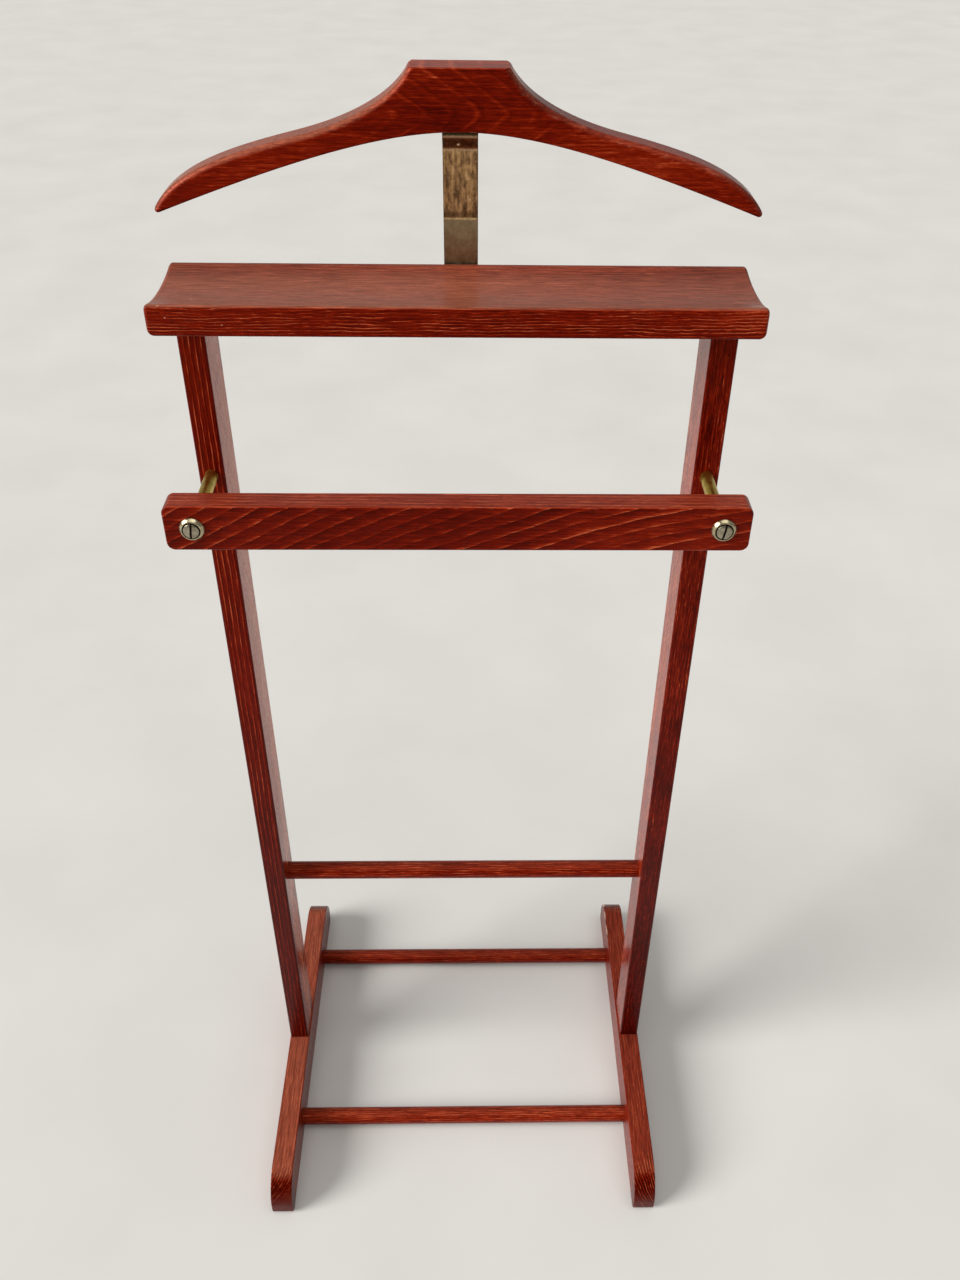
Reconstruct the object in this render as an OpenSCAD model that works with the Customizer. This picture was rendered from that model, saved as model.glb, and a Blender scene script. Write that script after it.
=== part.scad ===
// Valet stand: two feet and two uprights joined by round rails, with a dished tray
// on top, a trouser bar held out in front on two brass posts, and a coat hanger on
// a flat brass strap that slides up and down in a sleeve behind the tray.
// Millimetres. X to the right, Y to the back, Z up. The origin is on the floor,
// midway between the feet and midway along them.

/* [Frame] */
// Width over the outer faces of the uprights
frame_w = 400; // [340:1:440]
// Thickness of each upright, left to right
stock_t = 20; // [18:1:24]
// Thickness of each foot, left to right
foot_t = 22; // [20:1:26]
// How far each foot stands out past its upright's outer face
foot_out = 0.5; // [0:0.5:2]
// Depth of each upright, front to back
upright_d = 43; // [36:1:50]
// How far the uprights' centre plane stands behind the middle of the feet
column_y = 7.5; // [0:0.5:12]
// Length of each foot, front to back
foot_l = 389; // [340:1:420]
// Height of each foot
foot_h = 46; // [42:1:60]
// Radius of the upper corners at the ends of a foot
foot_top_r = 32; // [12:1:39]
// Radius of the lower corners at the ends of a foot
foot_low_r = 7; // [3:1:10]

/* [Rails] */
// Diameter of the three round rails
rail_d = 18; // [14:1:20]
// Height of the upper rail's centre above the floor
upper_rail_z = 306.5; // [200:0.5:500]
// Height of the two shoe rails' centres above the floor
shoe_rail_z = 15; // [13:0.5:26]
// Distance of the front shoe rail's centre ahead of the middle of the feet
front_rail_y = 93.5; // [60:0.5:130]
// Distance of the rear shoe rail's centre behind the middle of the feet
rear_rail_y = 121.5; // [60:0.5:130]

/* [Tray] */
// Length of the tray, left to right
tray_l = 427; // [427:1:470]
// Depth of the tray, front to back
tray_d = 89; // [80:1:100]
// Thickness of the tray at its lips
tray_h = 21.5; // [21:0.5:28]
// Height of the lips above the floor
tray_top = 920; // [880:1:940]
// Depth of the hollow below the lips
dish_depth = 5.5; // [3:0.5:7]
// Width of each flat lip at the front and back
lip_w = 4; // [3:0.5:8]

/* [Trouser bar] */
// Length of the bar
bar_l = 420; // [416:1:440]
// Thickness of the bar, front to back
bar_t = 21; // [16:1:24]
// Height of the bar
bar_h = 36; // [28:1:40]
// Height of the bar's centre line above the floor
bar_z = 778.5; // [700:0.5:800]
// Radius of the bar's four corners
bar_r = 6; // [3:1:10]
// Diameter of the brass posts
post_d = 10; // [9:1:12]
// Open length of each post, between the upright and the bar
post_l = 57.5; // [45:0.5:75]

/* [Hanger] */
// Thickness of the hanger, front to back
hanger_t = 26; // [20:1:28]
// How far the hanger, strap and sleeve stand to the right of the middle
hanger_x = 1; // [-2:0.5:2]
// Height of the hanger's flat top above the floor, with the strap drawn up
hanger_top = 1057.5; // [1052:0.5:1062]
// Width of the brass strap
strap_w = 25; // [20:1:28]
// Thickness of the brass strap
strap_t = 2.5; // [2:0.5:3]

/* [Hidden] */
$fn = 48;

// Glued and driven joints: radial gap between a peg or shank and its hole
glue_gap = 0.05;
// Running gap between the strap and its sleeve
run_gap = 0.4;

upright_x = (frame_w - stock_t) / 2;
foot_x = frame_w / 2 + foot_out - foot_t / 2;
inner_x = frame_w / 2 - stock_t;
upright_front = -upright_d / 2;
tray_under = tray_top - tray_h;
rail_socket = 12;
rail_l = 2 * (inner_x + rail_socket - 0.5);

// Loose wooden pegs in the foot and tray joints
peg_r = 4;
peg_y = 11;
peg_down = 20;
peg_up = 10;

// Trouser bar fixings
stud_r = 3;
stud_l = 24;
screw_r = 2.5;
screw_grip = 12;
cup_r = 9.2;
cup_h = 3;
head_r = 5.9;
head_rise = 1.6;
slot_w = 1.6;
slot_d = 1.5;
bar_back = upright_front - post_l;
bar_front = bar_back - bar_t;

// Hanger outline: offsets from the flat top, as curve control points
top_half = 34.5;
arm_upper_a = [[34.5, 0], [44, -18], [70, -33.5], [112, -43.6]];
arm_upper_b = [[112, -43.6], [152, -53.5], [196, -65], [212.5, -92]];
arm_lower = [[208, -93.2], [100, -53], [45, -39.6], [0, -39.6]];
curve_steps = 10;

// Strap and its sleeve, behind the tray
sleeve_wall = 1.5;
sleeve_h = 50;
sleeve_top = tray_top - 4;
sleeve_low = sleeve_top - sleeve_h;
sleeve_ear_w = 14;
sleeve_ear_h = 16;
strap_front = tray_d / 2 + sleeve_wall + run_gap;
strap_back = strap_front + strap_t;
spring_t = 0.5;
spring_room = 2;
sleeve_in_back = strap_back + spring_room;
sleeve_back = sleeve_in_back + sleeve_wall;
toe_l = 6;
toe_top = sleeve_low - 0.3;
hanger_back = strap_front - 6.4;
jog_low = tray_top + 80.5;
jog_high = jog_low + 8.5;
strap_top = hanger_top - 9;
wood_screw_r = 1.75;
wood_screw_l = 14;
strap_screw_z = [hanger_top - 31, hanger_top - 16];
ear_screw_z = sleeve_top - sleeve_ear_h / 2;
ear_screw_x = strap_w / 2 + run_gap + sleeve_wall + sleeve_ear_w / 2;

WOOD = "#7d2d1d";
DARK_WOOD = "#6c2418";
PEG = "#c9a477";
BRASS = "#a8854c";
OLD_BRASS = "#76603f";
STEEL = "#8d8a84";

// Carries its children back to the uprights' centre plane
module on_column() translate([0, column_y, 0]) children();

// A cylinder along X, centred on its axis point
module x_rod(r, l) rotate([0, 90, 0]) cylinder(r = r, h = l, center = true);

// A cylinder that starts at its axis point and runs towards the front
module front_rod(r, l) rotate([90, 0, 0]) cylinder(r = r, h = l);

// One point of a cubic curve with control points p, at t from 0 to 1
function on_curve(p, t) =
    pow(1 - t, 3) * p[0] + 3 * t * pow(1 - t, 2) * p[1]
    + 3 * t * t * (1 - t) * p[2] + pow(t, 3) * p[3];

// A rectangle from the origin with two lower and two upper corner radii
module round_end_board(l, h, low_r, top_r) {
    translate([low_r, 0]) square([l - 2 * low_r, h - top_r]);
    translate([0, low_r]) square([l, h - low_r - top_r]);
    translate([top_r, 0]) square([l - 2 * top_r, h]);
    for (x = [low_r, l - low_r]) translate([x, low_r]) circle(r = low_r);
    for (x = [top_r, l - top_r]) translate([x, h - top_r]) intersection() {
        circle(r = top_r);
        translate([-top_r, 0]) square([2 * top_r, top_r]);
    }
}

// A slotted round-head wood screw, its head towards the back, shank to the front
module wood_screw(head_r, l) {
    head_h = 2.2;
    difference() {
        union() {
            front_rod(wood_screw_r, l);
            translate([0, head_h, 0]) rotate([90, 0, 0])
                cylinder(r1 = head_r * 0.6, r2 = head_r, h = head_h);
        }
        translate([-head_r - 1, head_h - 1, -0.4]) cube([2 * head_r + 2, 2, 0.8]);
    }
}

// Foot on the side given by sign -1 (left) or +1 (right)
module foot(side) {
    color(DARK_WOOD)
    difference() {
        translate([side * foot_x - foot_t / 2, -foot_l / 2, 0])
            rotate([90, 0, 90]) linear_extrude(foot_t)
                round_end_board(foot_l, foot_h, foot_low_r, foot_top_r);
        for (y = [-front_rail_y, rear_rail_y])
            translate([side * inner_x, y, shoe_rail_z])
                x_rod(rail_d / 2 + glue_gap, 2 * rail_socket);
        for (y = [-peg_y, peg_y])
            translate([side * upright_x, column_y + y, foot_h - peg_down])
                cylinder(r = peg_r + glue_gap, h = peg_down + 1);
    }
}

module upright(side) {
    color(WOOD) on_column()
    difference() {
        translate([side * upright_x - stock_t / 2, upright_front, foot_h])
            cube([stock_t, upright_d, tray_under - foot_h]);
        translate([side * inner_x, 0, upper_rail_z])
            x_rod(rail_d / 2 + glue_gap, 2 * rail_socket);
        translate([side * upright_x, upright_front + stud_l + 0.5, bar_z])
            front_rod(stud_r + glue_gap, stud_l + 1);
        for (y = [-peg_y, peg_y], z = [foot_h, tray_under])
            translate([side * upright_x, y, z])
                cylinder(r = peg_r + glue_gap, h = 2 * peg_down, center = true);
    }
}

// Round rail between the two sides
module rail(y, z) {
    color(DARK_WOOD) translate([0, y, z]) x_rod(rail_d / 2, rail_l);
}

module foot_pegs() {
    color(PEG) on_column()
    for (x = [-upright_x, upright_x], y = [-peg_y, peg_y])
        translate([x, y, foot_h - peg_down + 0.5]) cylinder(r = peg_r, h = 2 * peg_down - 1);
}

module tray_pegs() {
    color(PEG) on_column()
    for (x = [-upright_x, upright_x], y = [-peg_y, peg_y])
        translate([x, y, tray_under - peg_down + 0.5]) cylinder(r = peg_r, h = peg_down + peg_up - 1);
}

module valet_tray() {
    dish_half = tray_d / 2 - lip_w;
    dish_r = (dish_half * dish_half + dish_depth * dish_depth) / (2 * dish_depth);
    color(WOOD) on_column()
    difference() {
        translate([-tray_l / 2, -tray_d / 2, tray_under]) cube([tray_l, tray_d, tray_h]);
        translate([0, 0, tray_top - dish_depth + dish_r])
            rotate([0, 90, 0]) cylinder(r = dish_r, h = tray_l + 2, center = true, $fn = 180);
        for (x = [-upright_x, upright_x], y = [-peg_y, peg_y])
            translate([x, y, tray_under - 1]) cylinder(r = peg_r + glue_gap, h = peg_up + 1);
        for (x = [hanger_x - ear_screw_x, hanger_x + ear_screw_x])
            translate([x, tray_d / 2 + 1, ear_screw_z])
                front_rod(wood_screw_r + glue_gap, wood_screw_l + 1);
    }
}

module trouser_bar() {
    color(WOOD) on_column()
    difference() {
        translate([-bar_l / 2, bar_back, bar_z - bar_h / 2]) rotate([90, 0, 0])
            linear_extrude(bar_t) round_end_board(bar_l, bar_h, bar_r, bar_r);
        for (x = [-upright_x, upright_x])
            translate([x, bar_back + 1, bar_z]) front_rod(screw_r + glue_gap, bar_t + 2);
    }
}

// Brass post: a plain round body, a stud into the upright, a tapped hole at the bar
module bar_post(side) {
    color(BRASS) on_column()
    translate([side * upright_x, 0, bar_z])
    difference() {
        union() {
            translate([0, upright_front, 0]) front_rod(post_d / 2, post_l);
            translate([0, upright_front + stud_l, 0]) front_rod(stud_r, stud_l + 1);
        }
        translate([0, bar_back + screw_grip + 0.5, 0]) front_rod(screw_r + glue_gap, screw_grip + 1.5);
    }
}

// Cup washer under the raised head of the bar's screw
module cup_washer(side) {
    color(BRASS) on_column()
    translate([side * upright_x, bar_front, bar_z]) rotate([90, 0, 0])
        rotate_extrude()
            polygon([[screw_r + 0.3, 0], [cup_r, 0], [cup_r, 0.7], [cup_r - 2.4, cup_h],
                     [head_r + 0.35, cup_h], [screw_r + 0.3, 0.6]]);
}

// Slotted screw with a raised countersunk head, through the bar into the post
module bar_screw(side) {
    dome_r = (head_r * head_r + head_rise * head_rise) / (2 * head_rise);
    dome_half = asin(head_r / dome_r);
    dome = [for (i = [0:6]) let (a = dome_half * (1 - i / 6))
        [dome_r * sin(a), cup_h + head_rise - dome_r * (1 - cos(a))]];
    color(STEEL) on_column()
    translate([side * upright_x, bar_front, bar_z]) rotate([90, 0, 0])
    difference() {
        rotate_extrude()
            polygon(concat([[0, -bar_t - screw_grip], [screw_r, -bar_t - screw_grip],
                            [screw_r, 0.8]], dome));
        translate([-slot_w / 2, -head_r - 1, cup_h + head_rise - slot_d])
            cube([slot_w, 2 * head_r + 2, 3]);
    }
}

// Carries its children to the hanger's own centre line
module on_hanger_line() {
    on_column() translate([hanger_x, 0, 0]) children();
}

module coat_hanger() {
    half = concat(
        [[top_half - 4, 0], [top_half - 1, -0.8]],
        [for (i = [1:curve_steps]) on_curve(arm_upper_a, i / curve_steps)],
        [for (i = [1:curve_steps]) on_curve(arm_upper_b, i / curve_steps)],
        [for (i = [0:curve_steps]) on_curve(arm_lower, i / curve_steps)]);
    mirrored = [for (i = [len(half) - 2:-1:0]) [-half[i][0], half[i][1]]];
    color(WOOD) on_hanger_line()
    difference() {
        translate([0, hanger_back, hanger_top]) rotate([90, 0, 0])
            linear_extrude(hanger_t) polygon(concat(half, mirrored));
        for (z = strap_screw_z)
            translate([0, hanger_back + 1, z])
                front_rod(wood_screw_r + glue_gap, wood_screw_l + 1);
    }
}

// Flat brass strap: a toe at the bottom, a straight run, a jog forward, a fixing tongue
module hanger_strap() {
    jog = strap_front - hanger_back;
    lift = strap_t * tan(atan(jog / (jog_high - jog_low)) / 2);
    side_view = [[strap_front, toe_top - strap_t], [strap_back + toe_l, toe_top - strap_t],
                 [strap_back + toe_l, toe_top], [strap_back, toe_top],
                 [strap_back, jog_low + lift], [hanger_back + strap_t, jog_high + lift],
                 [hanger_back + strap_t, strap_top], [hanger_back, strap_top],
                 [hanger_back, jog_high], [strap_front, jog_low]];
    color(OLD_BRASS) on_hanger_line()
    difference() {
        translate([-strap_w / 2, 0, 0]) rotate([90, 0, 90])
            linear_extrude(strap_w) polygon(side_view);
        for (z = strap_screw_z)
            translate([0, hanger_back + strap_t + 1, z])
                front_rod(wood_screw_r + glue_gap, strap_t + 2);
    }
}

module strap_screws() {
    color(BRASS) on_hanger_line()
    for (z = strap_screw_z)
        translate([0, hanger_back + strap_t, z]) wood_screw(3.5, wood_screw_l);
}

// Sleeve on the tray's back edge that the strap slides in
module strap_sleeve() {
    in_w = strap_w + 2 * run_gap;
    out_w = in_w + 2 * sleeve_wall;
    tray_back = tray_d / 2;
    color(OLD_BRASS) on_hanger_line()
    difference() {
        union() {
            translate([-out_w / 2, tray_back, sleeve_low])
                cube([out_w, sleeve_back - tray_back, sleeve_h]);
            translate([-out_w / 2 - sleeve_ear_w, tray_back, sleeve_top - sleeve_ear_h])
                cube([out_w + 2 * sleeve_ear_w, sleeve_wall, sleeve_ear_h]);
        }
        translate([-in_w / 2, tray_back + sleeve_wall, sleeve_low - 1])
            cube([in_w, sleeve_in_back - tray_back - sleeve_wall, sleeve_h + 2]);
        for (x = [-ear_screw_x, ear_screw_x])
            translate([x, tray_back + sleeve_wall + 1, ear_screw_z])
                front_rod(wood_screw_r + glue_gap, sleeve_wall + 2);
    }
}

module sleeve_screws() {
    color(BRASS) on_hanger_line()
    for (x = [-ear_screw_x, ear_screw_x])
        translate([x, tray_d / 2 + sleeve_wall, ear_screw_z]) wood_screw(3.2, wood_screw_l);
}

// Bowed leaf clipped over the sleeve's back wall: it presses on the strap
module friction_spring() {
    leaf_w = 16;
    leaf_half = 18;
    bow = spring_room - spring_t - 0.3;
    bow_r = (leaf_half * leaf_half + bow * bow) / (2 * bow);
    leaf_mid = sleeve_top - 7 - leaf_half;
    clip = [[sleeve_in_back - spring_t, sleeve_top - 8], [sleeve_in_back, sleeve_top - 8],
            [sleeve_in_back, sleeve_top], [sleeve_back, sleeve_top],
            [sleeve_back, sleeve_top - 5], [sleeve_back + spring_t, sleeve_top - 5],
            [sleeve_back + spring_t, sleeve_top + spring_t],
            [sleeve_in_back - spring_t, sleeve_top + spring_t]];
    color(BRASS) on_hanger_line()
    translate([-leaf_w / 2, 0, 0]) rotate([90, 0, 90]) linear_extrude(leaf_w) {
        polygon(clip);
        intersection() {
            translate([sleeve_in_back - spring_t - bow + bow_r, leaf_mid])
                difference() {
                    circle(r = bow_r, $fn = 360);
                    circle(r = bow_r - spring_t, $fn = 360);
                }
            translate([sleeve_in_back - spring_room, leaf_mid - leaf_half])
                square([spring_room, 2 * leaf_half]);
        }
    }
}

foot(-1);  // left_foot
foot(1);  // right_foot
upright(-1);  // left_upright
upright(1);  // right_upright
rail(column_y, upper_rail_z);  // upper_rail
rail(-front_rail_y, shoe_rail_z);  // front_shoe_rail
rail(rear_rail_y, shoe_rail_z);  // rear_shoe_rail
foot_pegs();
tray_pegs();
valet_tray();
trouser_bar();
bar_post(-1);  // left_bar_post
bar_post(1);  // right_bar_post
cup_washer(-1);  // left_cup_washer
cup_washer(1);  // right_cup_washer
bar_screw(-1);  // left_bar_screw
bar_screw(1);  // right_bar_screw
coat_hanger();
hanger_strap();
strap_screws();
strap_sleeve();
sleeve_screws();
friction_spring();
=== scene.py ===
import math

import bmesh
import bpy
from mathutils import Matrix, Vector


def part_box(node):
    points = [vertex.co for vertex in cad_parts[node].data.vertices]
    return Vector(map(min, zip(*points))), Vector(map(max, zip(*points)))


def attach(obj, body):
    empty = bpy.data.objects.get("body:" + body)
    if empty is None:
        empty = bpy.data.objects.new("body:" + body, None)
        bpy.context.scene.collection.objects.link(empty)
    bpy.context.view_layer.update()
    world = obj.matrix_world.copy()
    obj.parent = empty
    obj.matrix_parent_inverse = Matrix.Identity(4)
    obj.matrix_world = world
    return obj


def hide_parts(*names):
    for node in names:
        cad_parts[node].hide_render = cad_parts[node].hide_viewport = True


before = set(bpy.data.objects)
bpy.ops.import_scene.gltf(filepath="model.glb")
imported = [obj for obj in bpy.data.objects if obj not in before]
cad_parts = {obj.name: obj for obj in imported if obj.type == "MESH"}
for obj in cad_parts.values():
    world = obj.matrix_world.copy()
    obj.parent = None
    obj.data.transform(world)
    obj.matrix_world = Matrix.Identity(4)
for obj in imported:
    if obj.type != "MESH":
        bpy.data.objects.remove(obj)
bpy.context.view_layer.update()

# Sizes are in millimetres, as in the CAD: X to the right, Y to the back, Z up. Meshes are made in metres.
MM = 0.001


def cad(node):
    """Lowest and highest corner of a CAD node, in millimetres."""
    low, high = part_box(node)
    return low / MM, high / MM


# ---------------------------------------------------------------- outlines

def arc(cx, cy, r, a0, a1, steps):
    """Points on an arc, both ends included. Angles in degrees."""
    return [(cx + r * math.cos(math.radians(a0 + (a1 - a0) * i / steps)),
             cy + r * math.sin(math.radians(a0 + (a1 - a0) * i / steps))) for i in range(steps + 1)]


def bezier(p, steps):
    """Points on a cubic curve with control points p, both ends included."""
    out = []
    for i in range(steps + 1):
        t = i / steps
        weights = ((1 - t) ** 3, 3 * t * (1 - t) ** 2, 3 * t * t * (1 - t), t ** 3)
        out.append(tuple(sum(w * q[axis] for w, q in zip(weights, p)) for axis in (0, 1)))
    return out


def rounded_rect(x0, y0, x1, y1, low_r, top_r, steps):
    """Outline of a rectangle, anticlockwise, with its lower and upper corner radii."""
    return (arc(x0 + low_r, y0 + low_r, low_r, 180, 270, steps)
            + arc(x1 - low_r, y0 + low_r, low_r, 270, 360, steps)
            + arc(x1 - top_r, y1 - top_r, top_r, 0, 90, steps)
            + arc(x0 + top_r, y1 - top_r, top_r, 90, 180, steps))


def tidy(outline, gap=1e-4):
    """Drops points that repeat the one before."""
    return [p for i, p in enumerate(outline) if math.dist(p, outline[i - 1]) > gap]


def steps_between(p, q, longest):
    """Even steps from p up to, but not including, q."""
    n = max(1, math.ceil(math.dist(p, q) / longest))
    return [(p[0] + (q[0] - p[0]) * k / n, p[1] + (q[1] - p[1]) * k / n) for k in range(n)]


def subdivide(outline, longest):
    """Adds points so that no step of the closed outline is longer than that."""
    return [point for i, p in enumerate(outline)
            for point in steps_between(p, outline[(i + 1) % len(outline)], longest)]


def soft_corners(profile, radius, steps=4):
    """Rounds the inner corners of an open profile."""
    out = [profile[0]]
    for a, b, c in zip(profile, profile[1:], profile[2:]):
        a, b, c = Vector(a), Vector(b), Vector(c)
        u, v = (a - b), (c - b)
        r = min(radius, u.length * 0.45, v.length * 0.45)
        p, q = b + u.normalized() * r, b + v.normalized() * r
        for k in range(steps + 1):
            t = k / steps
            out.append(tuple(p * (1 - t) ** 2 + b * 2 * t * (1 - t) + q * t * t))
    out.append(profile[-1])
    return out


def inward(outline):
    """Inward offset direction at each point of an anticlockwise outline, longer at corners."""
    dirs = []
    n = len(outline)
    for i in range(n):
        a, b, c = (Vector(outline[j % n]) for j in (i - 1, i, i + 1))
        u, v = (b - a).normalized(), (c - b).normalized()
        nu, nv = Vector((-u.y, u.x)), Vector((-v.y, v.x))
        m = (nu + nv).normalized()
        dirs.append(m / max(0.5, m.dot(nu)))
    return dirs


def rounding(distance, radius):
    """How far a rounded edge falls away at a distance from its end."""
    s = max(0.0, radius - distance)
    return radius - math.sqrt(max(0.0, radius * radius - s * s))


# ---------------------------------------------------------------- meshes

def mesh_object(name, bm):
    """Links a plain object made from the mesh, which is used up."""
    mesh = bpy.data.meshes.new(name)
    bm.to_mesh(mesh)
    bm.free()
    thing = bpy.data.objects.new(name, mesh)
    bpy.context.scene.collection.objects.link(thing)
    return thing


def new_piece(name, bm, material, body, nodes):
    """Makes the mesh an object that rides on its body and stands for its CAD nodes."""
    bmesh.ops.recalc_face_normals(bm, faces=bm.faces)
    piece = mesh_object(name, bm)
    piece.data.polygons.foreach_set("use_smooth", [True] * len(piece.data.polygons))
    piece.data.materials.append(material)
    weighted = piece.modifiers.new("weighted", "WEIGHTED_NORMAL")
    weighted.keep_sharp = True
    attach(piece, body)
    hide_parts(*nodes)
    return piece


def add_loft(bm, rings, scuff_and_gleam=None):
    """Joins rings of points, in millimetres, into a closed skin with a face at each end.

    scuff_and_gleam is each ring's rubbed edge, from 0 to 1, which the wood's material reads: partly wear and
    partly a painted highlight.
    """
    scuff_gleam = bm.verts.layers.float.new("scuff_gleam")
    made = [[bm.verts.new(Vector(p) * MM) for p in ring] for ring in rings]
    for ring, amount in zip(made, scuff_and_gleam or [0.0] * len(made)):
        for v in ring:
            v[scuff_gleam] = amount
    n = len(rings[0])
    for a, b in zip(made, made[1:]):
        for i in range(n):
            bm.faces.new((a[i], a[(i + 1) % n], b[(i + 1) % n], b[i]))
    bm.faces.new(made[0])
    bm.faces.new(made[-1][::-1])


def add_plate(bm, outline, edge, low, high, place, steps=6, dirs=None):
    """A closed board: the outline from low to high, with its face edges rounded.

    edge(i) gives the radii at the low and the high face for outline point i, and
    place(u, v, w) turns outline and depth into X, Y, Z in millimetres. dirs are the
    inward steps for one millimetre of radius, where they aren't the outline's own.
    """
    dirs = dirs or inward(outline)
    rings, scuff_and_gleam = [], []
    for face in (0, 1):
        for k in range(steps + 1):
            t = math.radians(90 * (steps - k if face else k) / steps)
            ring = []
            for i, (p, d) in enumerate(zip(outline, dirs)):
                r = edge(i)[face]
                inset, deep = r * (1 - math.sin(t)), r * (1 - math.cos(t))
                w = high - deep if face else low + deep
                ring.append(place(p[0] + d.x * inset, p[1] + d.y * inset, w))
            rings.append(ring)
            scuff_and_gleam.append(math.sin(2 * t))
    add_loft(bm, rings, scuff_and_gleam)


def add_sweep(bm, section, path, x, shape):
    """Sweeps a section of (along X, across the path) points along a path of (Y, Z) points.

    shape(point, section point) may move each point that results.
    """
    rings = []
    for i, p in enumerate(path):
        a, b = Vector(path[max(i - 1, 0)]), Vector(path[min(i + 1, len(path) - 1)])
        t = (b - a).normalized()
        rings.append([shape((x + u, p[0] - t.y * v, p[1] + t.x * v), (u, v)) for u, v in section])
    add_loft(bm, rings)


def add_lathe(bm, profile, origin, axis, segments=64):
    """A profile of (radius, height) points, in millimetres, turned about an axis through origin."""
    turn = Vector((0, 0, 1)).rotation_difference(Vector(axis)).to_matrix()
    rings = []
    for r, h in profile:
        if r < 1e-6:
            points = [Vector((0, 0, h))]
        else:
            points = [Vector((r * math.cos(2 * math.pi * s / segments),
                              r * math.sin(2 * math.pi * s / segments), h)) for s in range(segments)]
        rings.append([bm.verts.new((Vector(origin) + turn @ p) * MM) for p in points])
    for a, b in zip(rings, rings[1:]):
        for s in range(segments):
            t = (s + 1) % segments
            corners = [a[s % len(a)], a[t % len(a)], b[t % len(b)], b[s % len(b)]]
            face = [v for i, v in enumerate(corners) if v not in corners[:i]]
            if len(face) > 2:
                bm.faces.new(face)


def cut_slot(bm, name, centre, axis, turn, width, length, bottom):
    """Cuts a straight slot, open at its top, into a mesh that stands on an axis through centre.

    The mesh is used up, and the result is a new one.
    """
    cutter_h = 10
    stand = Vector((0, 0, 1)).rotation_difference(Vector(axis)).to_matrix().to_4x4()
    box = bmesh.new()
    bmesh.ops.create_cube(box, size=1, matrix=(
        Matrix.Translation(Vector(centre) * MM) @ stand @ Matrix.Rotation(turn, 4, "Z")
        @ Matrix.Translation(Vector((0, 0, bottom + cutter_h / 2)) * MM)
        @ Matrix.Diagonal((width * MM, length * MM, cutter_h * MM, 1))))
    cutter = mesh_object(name + "_cut", box)
    bmesh.ops.recalc_face_normals(bm, faces=bm.faces)
    whole = mesh_object(name + "_base", bm)
    boolean = whole.modifiers.new("slot", "BOOLEAN")
    boolean.operation = "DIFFERENCE"
    boolean.solver = "EXACT"
    boolean.object = cutter
    bpy.context.view_layer.update()
    done = bmesh.new()
    done.from_mesh(whole.evaluated_get(bpy.context.evaluated_depsgraph_get()).to_mesh())
    for thing in (whole, cutter):
        bpy.data.objects.remove(thing)
    return done


# ---------------------------------------------------------------- materials

class Net:
    """Short names for building a material's node tree."""

    def __init__(self, name):
        self.material = bpy.data.materials.new(name)
        self.material.use_nodes = True
        self.tree = self.material.node_tree
        self.shader = self.tree.nodes["Principled BSDF"]

    def node(self, kind, inputs=None, **settings):
        n = self.tree.nodes.new("ShaderNode" + kind)
        for key, value in settings.items():
            setattr(n, key, value)
        for key, value in (inputs or {}).items():
            self.feed(n.inputs[key], value)
        return n

    def feed(self, socket, value):
        if isinstance(value, bpy.types.NodeSocket):
            self.tree.links.new(value, socket)
        else:
            socket.default_value = value

    def math(self, operation, a, b=0.0, c=0.0):
        return self.node("Math", {0: a, 1: b, 2: c}, operation=operation).outputs[0]

    def times(self, a, b):
        return self.math("MULTIPLY", a, b)

    def vary(self, value, noise, amount):
        """Adds a noise to a value, counted from the noise's middle and scaled."""
        return self.math("MULTIPLY_ADD", self.math("SUBTRACT", noise, 0.5), amount, value)

    def vector(self, operation, a, b=(0, 0, 0)):
        n = self.node("VectorMath", {0: a, 1: b}, operation=operation)
        return n.outputs["Value" if operation in ("LENGTH", "DOT_PRODUCT") else "Vector"]

    def coordinates(self, shift=(0, 0, 0)):
        """Object coordinates in millimetres."""
        where = self.node("TexCoord").outputs["Object"]
        return self.node("Mapping", {"Vector": where, "Scale": [1 / MM] * 3, "Location": shift}).outputs[0]

    def split(self, vector):
        return self.node("SeparateXYZ", {0: vector}).outputs

    def cells(self, vector, size):
        """Coordinates counted in cells of a size along X, Y and Z."""
        return self.vector("MULTIPLY", vector, [1 / s for s in size])

    def noise(self, vector, scale=1.0, detail=2.0, rough=0.5):
        n = self.node("TexNoise", {"Vector": vector, "Scale": scale, "Detail": detail, "Roughness": rough})
        return n.outputs[0]

    def spread(self, value, low, high, to_low=0.0, to_high=1.0):
        """Maps a range onto another, smoothly, held at both ends."""
        n = self.node("MapRange", {"Value": value, "From Min": low, "From Max": high,
                                   "To Min": to_low, "To Max": to_high}, interpolation_type="SMOOTHSTEP")
        return n.outputs[0]

    def ramp(self, value, stops):
        n = self.node("ValToRGB", {"Fac": value})
        e = n.color_ramp.elements
        while len(e) < len(stops):
            e.new(0.5)
        for item, (where, colour) in zip(e, stops):
            item.position = where
            item.color = (*colour, 1)
        return n.outputs[0]

    def mix(self, factor, a, b):
        n = self.node("Mix", {"Factor": factor}, data_type="RGBA")
        for name, value in (("A", a), ("B", b)):
            socket = next(s for s in n.inputs if s.name == name and s.type == "RGBA")
            self.feed(socket, (*value, 1) if isinstance(value, tuple) else value)
        return next(s for s in n.outputs if s.type == "RGBA")

    def bump(self, height, distance, strength, normal=None):
        n = self.node("Bump", {"Height": height, "Distance": distance, "Strength": strength})
        if normal is not None:
            self.feed(n.inputs["Normal"], normal)
        return n.outputs[0]


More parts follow.
